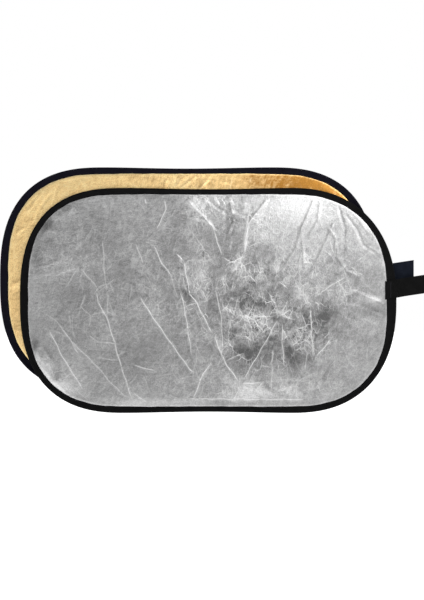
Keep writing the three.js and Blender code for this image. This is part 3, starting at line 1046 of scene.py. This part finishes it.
def woven_material(name, colour, pitch_along, pitch_across, roughness, depth):
    """Woven tape or webbing: ribs along and across it, a little fuzz and uneven dye."""
    made, tree, shader = material(
        name, Sheen_Weight=0.02, Sheen_Roughness=0.45, Specular_IOR_Level=0.3, IOR=1.15
    )
    shader.inputs["Sheen Tint"].default_value = (0.75, 0.78, 0.85, 1)
    uv = node(tree, "ShaderNodeUVMap", uv_map="flat").outputs["UV"]
    split = node(tree, "ShaderNodeSeparateXYZ", {"Vector": uv})
    ribs = []
    for axis, pitch in (("X", pitch_along), ("Y", pitch_across)):
        turned = times(tree, split.outputs[axis], 2 * math.pi / pitch)
        ribs.append(math_node(tree, "SINE", turned))
    weave = times(tree, *ribs)
    fuzz, dye = noise(tree, uv, 1500, 3, 0.7), noise(tree, uv, 60, 4, 0.6)
    dark = tuple(c * 0.72 for c in colour)
    pale = tuple(c * 1.5 + 0.001 for c in colour)
    shade = add(tree, times(tree, weave, 0.16), times(tree, fuzz, 0.5), times(tree, dye, 0.5))
    base = ramp(tree, shade, [(0.3, dark), (0.5, colour), (0.75, pale)])
    tree.links.new(base, shader.inputs["Base Color"])
    rough = scaled(tree, fuzz, 0.3, 0.7, roughness - 0.08, roughness + 0.08)
    tree.links.new(rough, shader.inputs["Roughness"])
    bumps(tree, shader, add(tree, times(tree, weave, 0.5), times(tree, fuzz, 0.4)), 0.6, depth)
    return made


def plain_noise_material(name, colours, roughness, scale, **sockets):
    """Metal or thread: fine streaks in colour, roughness and bump."""
    made, tree, shader = material(name, **sockets)
    place = node(tree, "ShaderNodeTexCoord").outputs["Object"]
    texture = node(tree, "ShaderNodeTexNoise", {"Vector": place, "Scale": scale, "Detail": 4.0})
    streaks = texture.outputs["Fac"]
    base = ramp(tree, streaks, [(0.35, colours[0]), (0.65, colours[1])])
    tree.links.new(base, shader.inputs["Base Color"])
    tree.links.new(scaled(tree, streaks, 0.3, 0.7, *roughness), shader.inputs["Roughness"])
    bumps(tree, shader, streaks, 0.3, 0.0002)
    return made


def grey(level):
    return (level, level, level)


def cloth_materials():
    # The lowest stop of each cloth is reached where painted shade and darker mottling pull its colour
    # down
    silver, silver_worn = [grey(0.12), grey(0.325), grey(0.6)], grey(0.68)
    gold, gold_worn = [(0.3, 0.14, 0.028), (0.97, 0.7, 0.335), (1.0, 0.82, 0.48)], (1.0, 0.84, 0.52)
    return {
        "silver_cloth": cloth_material("silver_cloth", silver, silver_worn, (0.36, 0.48), 1.0, 0.7),
        "gold_cloth": cloth_material("gold_cloth", gold, gold_worn, (0.38, 0.5), 0.35, 0.4),
    }


def tape_materials():
    tape, webbing = (0.9 * MM, 0.7 * MM, 0.75, 0.00025), (1.6 * MM, 2.2 * MM, 0.7, 0.0005)
    return {
        "front_tape": woven_material("front_tape", (0.0038, 0.0038, 0.0039), *tape),
        "rear_tape": woven_material("rear_tape", (0.0045, 0.0041, 0.0076), *tape),
        "front_webbing": woven_material("front_webbing", grey(0.0035), *webbing),
        "rear_webbing": woven_material("rear_webbing", (0.0052, 0.0068, 0.0115), *webbing),
    }


def small_materials():
    thread = [(0.007, 0.007, 0.008), (0.016, 0.016, 0.018)]
    steel = [(0.36, 0.37, 0.4), (0.5, 0.51, 0.54)]
    brass = [(0.55, 0.38, 0.14), (0.7, 0.52, 0.24)]
    dull = {"Specular_IOR_Level": 0.3, "IOR": 1.2}
    return {
        "thread": plain_noise_material("thread", thread, (0.6, 0.75), 900, **dull),
        "spring_steel": plain_noise_material("spring_steel", steel, (0.25, 0.4), 300, metallic=1.0),
        "brass": plain_noise_material("brass", brass, (0.3, 0.45), 300, metallic=1.0),
    }


# ---------------------------------------------------------------- studio


def studio_floor(low):
    size, drop = 40.0, 0.42
    corners = [(-size, -size), (size, -size), (size, size), (-size, size)]
    floor = mesh_object("floor", [(x, y, low - drop) for x, y in corners], [[0, 1, 2, 3]])
    made, tree, shader = material("floor", roughness=0.9)
    shader.inputs["Base Color"].default_value = (0.93, 0.93, 0.93, 1)
    shader.inputs["Emission Color"].default_value = (1, 1, 1, 1)
    shader.inputs["Emission Strength"].default_value = 0.8
    floor.data.materials.append(made)


def soft_light(name, place, aim, size, power):
    data = bpy.data.lights.new(name, "AREA")
    data.shape = "RECTANGLE"
    data.size, data.size_y = size
    data.energy = power
    lamp = bpy.data.objects.new(name, data)
    lamp.location = place
    lamp.rotation_euler = (Vector(aim) - Vector(place)).to_track_quat("-Z", "Y").to_euler()
    lamp.visible_camera = False
    bpy.context.scene.collection.objects.link(lamp)


def world():
    """White all round, and greyer straight in front of and behind the panels."""
    made = bpy.data.worlds.new("studio")
    bpy.context.scene.world = made
    made.use_nodes = True
    tree = made.node_tree
    back = tree.nodes["Background"]
    direction = node(tree, "ShaderNodeTexCoord").outputs["Generated"]
    split = node(tree, "ShaderNodeSeparateXYZ", {"Vector": direction})
    facing = math_node(tree, "ABSOLUTE", split.outputs["Y"])
    level = scaled(tree, facing, 0.5, 0.93, 0.83, 0.21)
    seen = node(tree, "ShaderNodeLightPath").outputs["Is Camera Ray"]
    level = math_node(tree, "MAXIMUM", level, seen)
    tree.links.new(level, back.inputs["Strength"])
    back.inputs["Color"].default_value = (1, 1, 1, 1)


def camera(panel):
    data = bpy.data.cameras.new("camera")
    eye = bpy.data.objects.new("camera", data)
    distance, seen_height, right_of_centre, above_centre = 5.0, 1.434, 0.0091, 0.0012
    data.sensor_width = 36
    data.lens = data.sensor_width * distance / seen_height
    centre = panel.centre
    eye.location = (centre.x + right_of_centre, centre.y - distance, centre.z + above_centre)
    eye.rotation_euler = (math.pi / 2, 0, 0)
    data.clip_end = 200
    bpy.context.scene.collection.objects.link(eye)
    bpy.context.scene.camera = eye


# ---------------------------------------------------------------- the object

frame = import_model()
cad_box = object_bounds()

MATERIALS = {**cloth_materials(), **tape_materials(), **small_materials()}
CLOTHS = {
    ("front", "silver"): (-1, {"seed": 11, "turned": (1, 1), "strength": 1.0, "tones_and_painted_light": FRONT_TONES_AND_PAINTED_LIGHT}),
    ("front", "gold"): (1, {"seed": 12, "turned": (1, -1), "strength": 0.6, "tones_and_painted_light": []}),
    ("rear", "gold"): (-1, {"seed": 13, "turned": (-1, 1), "strength": 0.6, "tones_and_painted_light": REAR_GOLD_PAINTED_SHADE}),
    ("rear", "silver"): (1, {"seed": 14, "turned": (-1, 1), "strength": 0.9, "tones_and_painted_light": FRONT_TONES_AND_PAINTED_LIGHT}),
}

panels = {name: Panel(name) for name in ("front", "rear")}
for panel in panels.values():
    for side in SIDES:
        binding(panel, side)
        hoop(panel, side)
        for face_name in FACES:
            edge_stitches(panel, side, face_name)
    strap(panel)
    for face_name in FACES:
        tack(panel, face_name)
    sleeve = frame["nodes"][f"{panel.name}_hoop_sleeve"].data
    sleeve.materials.clear()
    sleeve.materials.append(MATERIALS["brass"])
for (name, colour), (face, style) in CLOTHS.items():
    cloth(panels[name], colour, face, style)

studio_floor(cad_box[0].z)
soft_light("key", (0.55, -0.75, 0.8), (0.22, 0, 0.4), (0.6, 0.5), 5.5)
soft_light("back", (-0.6, 0.75, 0.85), (-0.3, 0, 0.4), (0.5, 0.5), 5)
world()
camera(panels["front"])
bpy.context.scene.view_settings.view_transform = "Standard"
